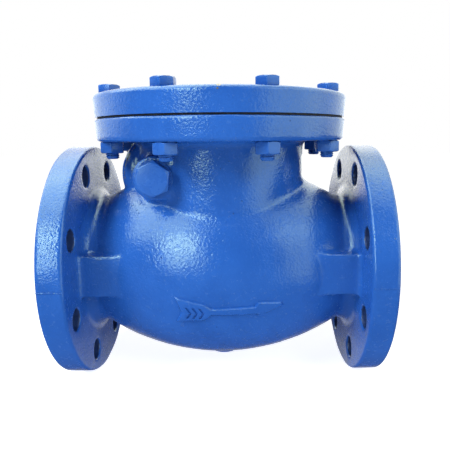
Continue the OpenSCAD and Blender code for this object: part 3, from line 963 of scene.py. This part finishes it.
# Windows that only reflections show: glow, left and right edge and their softness in degrees from the
# camera, then low and high edge as the sine of the elevation
LEFT_SKY = (5.2, -118.0, -36.0, 12.0, 0.42, 1.2)
LEFT_WINDOW = (10.0, -34.0, -18.0, 3.0, 0.0, 0.26)
KEY_WINDOW = (17.0, -36.0, -20.0, 3.0, 0.28, 0.60)
HIGH_WINDOW = (5.5, -36.0, -20.0, 3.0, 0.64, 1.0)
RIGHT_WINDOW = (2.4, 38.0, 98.0, 10.0, -0.3, 0.7)
WINDOWS = (LEFT_SKY, LEFT_WINDOW, KEY_WINDOW, HIGH_WINDOW, RIGHT_WINDOW)
WINDOW_SOFT = 0.1
# Wider parts of the room, in the same terms: glow, then the rise from none to full
ROOM_GLOW = 0.10
HORIZON = (-0.138, -0.06)
WALL_GLOW = 1.5
WALL_SIDE = (72.0, 110.0)
BACKDROP_GLOW = 2.0
BACKDROP_SIDE = (140.0, 172.0)
BACK_SKY = 3.0
BACK_SKY_SIDE = (95.0, 130.0)
BACK_SKY_RISE = (0.45, 0.8)
RIGHT_SKY = 1.4
RIGHT_SKY_SIDE = (26.0, 50.0)
RIGHT_SKY_RISE = (0.25, 0.62)
CEILING_GLOW = 2.2
CEILING_RISE = (0.78, 0.93)
GROUND_GLOW = 0.40
GROUND_SIDE = (120.0, 150.0)
GROUND_NEAR = (-0.70, -0.55)
GROUND_FAR = (-0.42, -0.375)
WHITE = (1.0, 1.0, 1.0)
COOL_TINT = (0.90, 1.0, 0.96)
FLOOR_HALF = 6.0
FLOOR_COLOUR = (0.8, 0.8, 0.8, 1.0)
FLOOR_GLOW = 0.84
FLOOR_BOUNCE = 0.50
# Height that the lamps point at
LAMP_AIM_Z = 20.0


def ray_kinds(tree):
    """Readings that tell camera, glossy and transmitted rays apart."""
    ray = tree.node("ShaderNodeLightPath").socket.node
    names = ("Is Camera Ray", "Is Glossy Ray", "Is Transmission Ray")
    return [Reading(tree, ray.outputs[name]) for name in names]


def build_world():
    """White behind the valve, a room of windows, sky and ceiling for reflections, and a soft fill."""
    world = bpy.data.worlds.new("studio")
    bpy.context.scene.world = world
    world.use_nodes = True
    t = Tree(world.node_tree)
    camera_ray, glossy_ray, through_ray = ray_kinds(t)
    way = t.node("ShaderNodeTexCoord", output="Generated")
    split = t.node("ShaderNodeSeparateXYZ", None, {0: way}).socket.node
    right, back, up = [Reading(t, socket) for socket in split.outputs]
    front = 0.0 - back
    azimuth = right.math("ARCTAN2", right, front) * (180.0 / math.pi)
    aside = azimuth.math("ABSOLUTE", azimuth)

    def window(left_edge, right_edge, soft, low, high):
        across = azimuth.step(left_edge - soft, left_edge + soft)
        across = across * (1.0 - azimuth.step(right_edge - soft, right_edge + soft))
        bottom = up.step(low - WINDOW_SOFT, low + WINDOW_SOFT)
        return across * bottom * (1.0 - up.step(high - WINDOW_SOFT, high + WINDOW_SOFT))

    above_horizon = up.step(*HORIZON)
    at_back = aside.step(*BACKDROP_SIDE)
    walls = aside.step(*WALL_SIDE) * (1.0 - at_back) * above_horizon
    back_sky = (0.0 - azimuth).step(*BACK_SKY_SIDE) * up.step(*BACK_SKY_RISE)
    right_sky = azimuth.step(*RIGHT_SKY_SIDE) * up.step(*RIGHT_SKY_RISE)
    ground = up.step(*GROUND_NEAR) * (1.0 - up.step(*GROUND_FAR)) * aside.step(*GROUND_SIDE)
    cool = WALL_GLOW * walls + BACK_SKY * back_sky + RIGHT_SKY * right_sky
    cool = cool + CEILING_GLOW * up.step(*CEILING_RISE)
    for glow, *edges in WINDOWS:
        cool = cool + glow * window(*edges)
    room = cool + ROOM_GLOW + BACKDROP_GLOW * at_back * above_horizon + GROUND_GLOW * ground
    tint = t.mix(glossy_ray * cool / room, WHITE, COOL_TINT)
    fill = BASE_FILL + FRONT_FILL * front.step(*FRONT_SPREAD) + REAR_FILL * back.step(*REAR_SPREAD)
    fill = fill + TOP_FILL * up.step(*TOP_SPREAD)
    seen = camera_ray.most(through_ray)
    level = seen + (1.0 - seen) * (glossy_ray * room + (1.0 - glossy_ray) * SKY_FILL * fill)
    sky = t.node("ShaderNodeBackground", None, {"Color": tint, "Strength": level})
    out = t.nodes.new("ShaderNodeOutputWorld")
    t.links.new(sky.socket, out.inputs["Surface"])


def build_floor():
    """Pale floor that shows white to the camera, keeps the shadow and stays out of reflections."""
    bm = bmesh.new()
    bmesh.ops.create_grid(bm, x_segments=1, y_segments=1, size=FLOOR_HALF)
    bmesh.ops.translate(bm, vec=(BONNET_X * MM, 0.0, FLOOR_Z * MM), verts=bm.verts)
    mesh = bpy.data.meshes.new("floor")
    bm.to_mesh(mesh)
    bm.free()
    floor = bpy.data.objects.new("floor", mesh)
    bpy.context.scene.collection.objects.link(floor)
    material = bpy.data.materials.new("floor_paper")
    material.use_nodes = True
    t = Tree(material.node_tree)
    camera_ray, glossy_ray, through_ray = ray_kinds(t)
    paper = t.node("ShaderNodeBsdfDiffuse", None, {"Color": FLOOR_COLOUR})
    seen = camera_ray.most(through_ray)
    level = FLOOR_BOUNCE + seen * (FLOOR_GLOW - FLOOR_BOUNCE)
    glow = t.node("ShaderNodeEmission", None, {"Color": (*WHITE, 1.0), "Strength": level})
    both = t.node("ShaderNodeAddShader", None, {0: paper, 1: glow})
    clear = t.node("ShaderNodeBsdfTransparent")
    shown = t.node("ShaderNodeMixShader", None, {0: glossy_ray, 1: both, 2: clear})
    out = t.nodes.new("ShaderNodeOutputMaterial")
    t.links.new(shown.socket, out.inputs["Surface"])
    mesh.materials.append(material)


def add_softbox(name, azimuth, elevation, distance, width, height, power, tint):
    """Rectangular soft light. Azimuth is in degrees, 0 at the camera and positive to the right."""
    light = bpy.data.lights.new(name, "AREA")
    light.shape = "RECTANGLE"
    light.size = width
    light.size_y = height
    light.energy = power
    light.color = tint
    lamp = bpy.data.objects.new(name, light)
    lamp.visible_glossy = False
    bpy.context.scene.collection.objects.link(lamp)
    a = math.radians(azimuth)
    e = math.radians(elevation)
    aim = Vector((BONNET_X, 0.0, LAMP_AIM_Z)) * MM
    back = Vector((math.sin(a) * math.cos(e), -math.cos(a) * math.cos(e), math.sin(e)))
    turn = (-back).to_track_quat("-Z", "Y")
    lamp.matrix_world = Matrix.Translation(aim + back * distance) @ turn.to_matrix().to_4x4()


def place_camera():
    """Camera of the photograph, fitted to the flanges. Its angles are in radians."""
    yaw = 0.0055
    pitch = 0.1805
    roll = -0.0077
    focal_pixels = 479.55
    frame_pixels = 450.0
    shift_pixels = 19.3
    sensor = 36.0
    stand = (0.16499, -0.47177, 0.11739)
    ahead = math.cos(pitch)
    forward = Vector((math.sin(yaw) * ahead, math.cos(yaw) * ahead, -math.sin(pitch)))
    level = Vector((math.cos(yaw), -math.sin(yaw), 0.0))
    above = level.cross(forward)
    right = level * math.cos(roll) + above * math.sin(roll)
    up = above * math.cos(roll) - level * math.sin(roll)
    data = bpy.data.cameras.new("camera")
    data.sensor_width = sensor
    data.lens = sensor * focal_pixels / frame_pixels
    data.shift_x = -shift_pixels / frame_pixels
    data.clip_start = 0.01
    data.clip_end = 100.0
    camera = bpy.data.objects.new("camera", data)
    bpy.context.scene.collection.objects.link(camera)
    turn = Matrix((right, up, -forward)).transposed().to_4x4()
    camera.matrix_world = Matrix.Translation(stand) @ turn
    bpy.context.scene.camera = camera


build_world()
build_floor()
add_softbox(
    "key_light", azimuth=-52.0, elevation=36.0, distance=1.5,
    width=0.6, height=0.6, power=23.0, tint=(0.94, 1.0, 0.97),
)
add_softbox(
    "right_light", azimuth=38.0, elevation=32.0, distance=1.6,
    width=0.8, height=0.6, power=11.5, tint=(0.96, 1.0, 0.98),
)
place_camera()
bpy.context.scene.view_settings.view_transform = "Standard"
